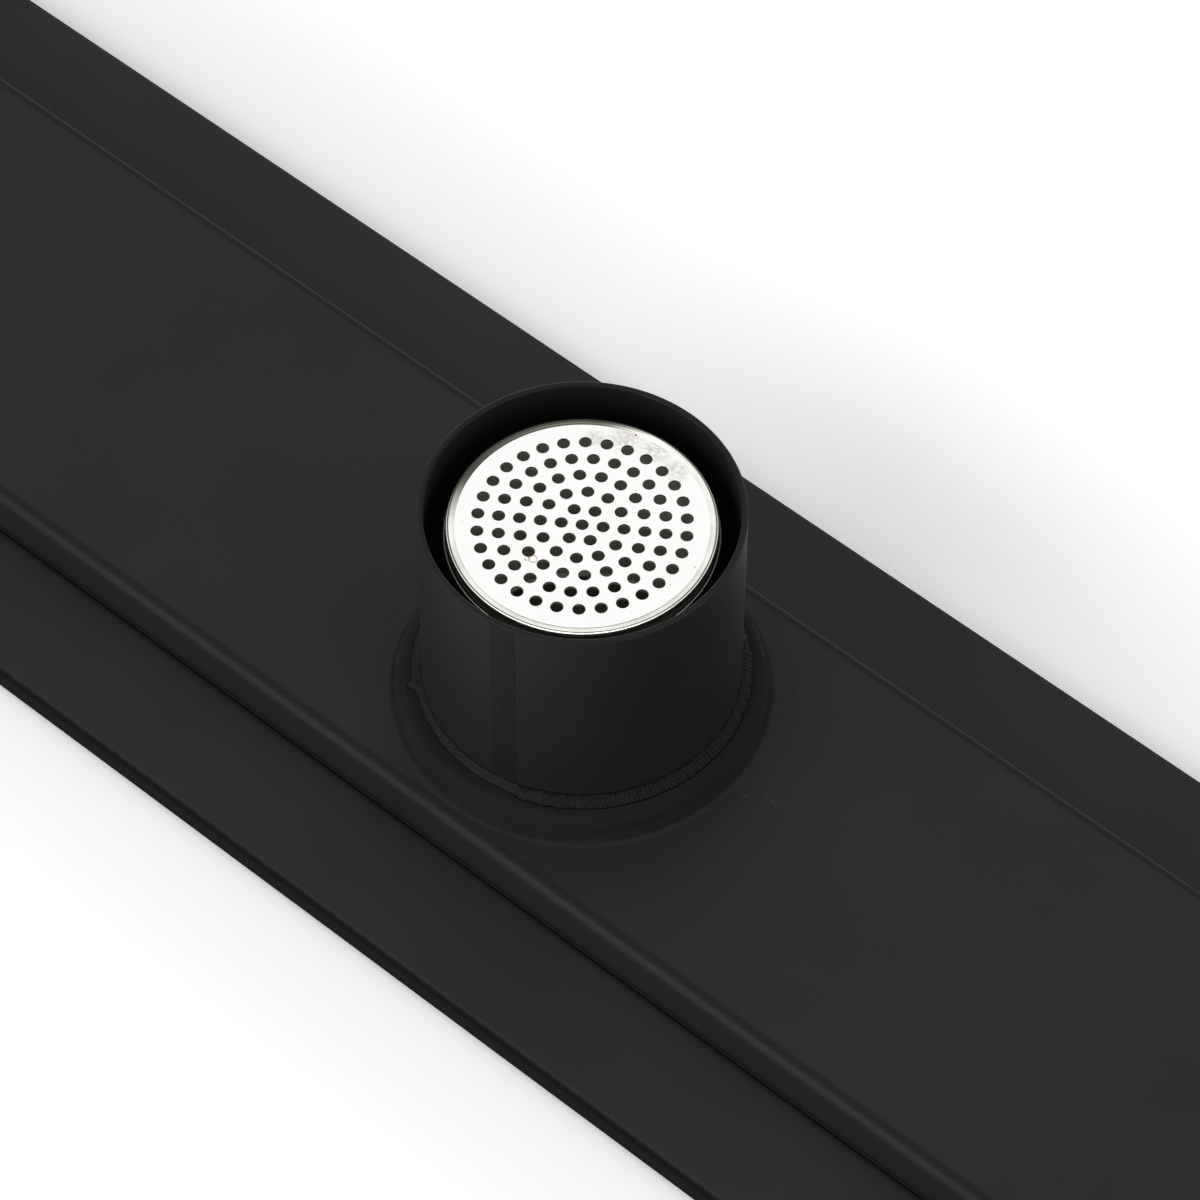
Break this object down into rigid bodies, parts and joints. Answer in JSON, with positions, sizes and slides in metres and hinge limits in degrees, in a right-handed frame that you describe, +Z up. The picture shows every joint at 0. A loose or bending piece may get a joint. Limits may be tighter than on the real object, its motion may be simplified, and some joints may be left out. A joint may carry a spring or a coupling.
{
  "type": "channel drain",
  "caption": "Linear channel drain in black coated sheet, lying upside down, with a welded outlet pipe, a lift-out perforated strainer and a plain folded cover.",
  "frame": {"origin": "on the ground under the axis of the outlet pipe, the drain lying upside down", "axes": "+X along the channel, +Y across it, +Z up, which is the way the outlet pipe points"},
  "size_m": [0.6, 0.1082, 0.057],
  "materials": {
    "black_coat": "satin black coating on stainless sheet",
    "bright_steel": "bright stainless",
    "seal_rubber": "matte"
  },
  "bodies": {
    "root": {"channel_tray": "black_coat", "left_end": "black_coat", "right_end": "black_coat", "outlet_pipe": "black_coat", "outlet_weld": "black_coat", "cover_panel": "black_coat", "strainer_cup": "bright_steel", "strainer_tube": "bright_steel", "strainer_collar": "bright_steel", "strainer_handle": "bright_steel", "strainer_seal": "seal_rubber"}
  },
  "joints": []
}
